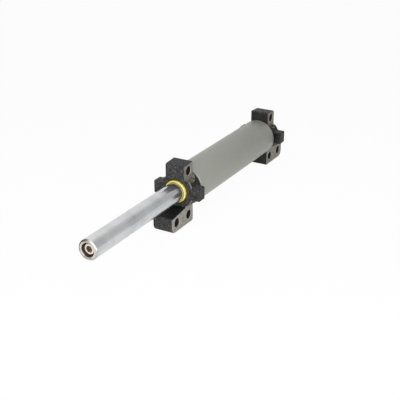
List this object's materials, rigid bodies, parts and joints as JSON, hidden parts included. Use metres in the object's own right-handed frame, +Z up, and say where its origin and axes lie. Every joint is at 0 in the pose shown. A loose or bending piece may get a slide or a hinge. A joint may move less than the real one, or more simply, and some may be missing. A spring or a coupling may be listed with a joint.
{
  "type": "hydraulic steering cylinder",
  "caption": "Double-acting through-rod steering cylinder: a plain tube between two cast end caps with bolting lugs, and one long chromed rod through both.",
  "frame": {"origin": "middle of the four inner bolt holes, on the milled mounting pads", "axes": "+X along the rod from the near end to the far end, +Z up, -Y out of the mounting pads; the rod's axis is at y = 21.5 mm, z = 3.25 mm"},
  "size_m": [0.756, 0.106, 0.1293],
  "materials": {
    "barrel_paint": "even grey-green enamel",
    "cap_iron": "dark grey cast skin, milled bright on the pads and spot faces",
    "wiper_yellow": "satin polyurethane",
    "rod_chrome": "ground hard chrome",
    "screw_steel": "plain machined steel",
    "piston_steel": "turned",
    "ring_steel": "dark spring steel",
    "seal_rubber": "matte",
    "slide_ring": "bronze-filled slide ring",
    "wear_plastic": "resin and fabric guide ring",
    "backup_plastic": "hard white plastic",
    "bush_bronze": "bored bronze"
  },
  "bodies": {
    "housing": {"barrel": "barrel_paint", "near_end_cap": "cap_iron", "near_wiper_ring": "wiper_yellow", "near_rod_seal": "seal_rubber", "near_rod_bush": "bush_bronze", "near_barrel_oring": "seal_rubber", "near_barrel_backup_ring": "backup_plastic", "far_end_cap": "cap_iron", "far_wiper_ring": "wiper_yellow", "far_rod_seal": "seal_rubber", "far_rod_bush": "bush_bronze", "far_barrel_oring": "seal_rubber", "far_barrel_backup_ring": "backup_plastic"},
    "piston_rings": {"piston_seal": "slide_ring", "piston_seal_energizer": "seal_rubber", "near_piston_wear_ring": "wear_plastic", "far_piston_wear_ring": "wear_plastic"},
    "rod": {"piston_rod": "rod_chrome", "piston": "piston_steel", "piston_bore_oring": "seal_rubber", "near_piston_retaining_ring": "ring_steel", "near_rod_end_screw": "screw_steel", "far_piston_retaining_ring": "ring_steel", "far_rod_end_screw": "screw_steel"}
  },
  "joints": [
    {"name": "rod_slide", "type": "slide", "parent": "housing", "child": "piston_rings", "axis": [1, 0, 0], "range_m": [0, 0.275]},
    {"name": "rod_turn", "type": "hinge", "parent": "piston_rings", "child": "rod", "pos_m": [-0.1375, 0.0215, 0.00325], "axis": [1, 0, 0], "continuous": true}
  ]
}
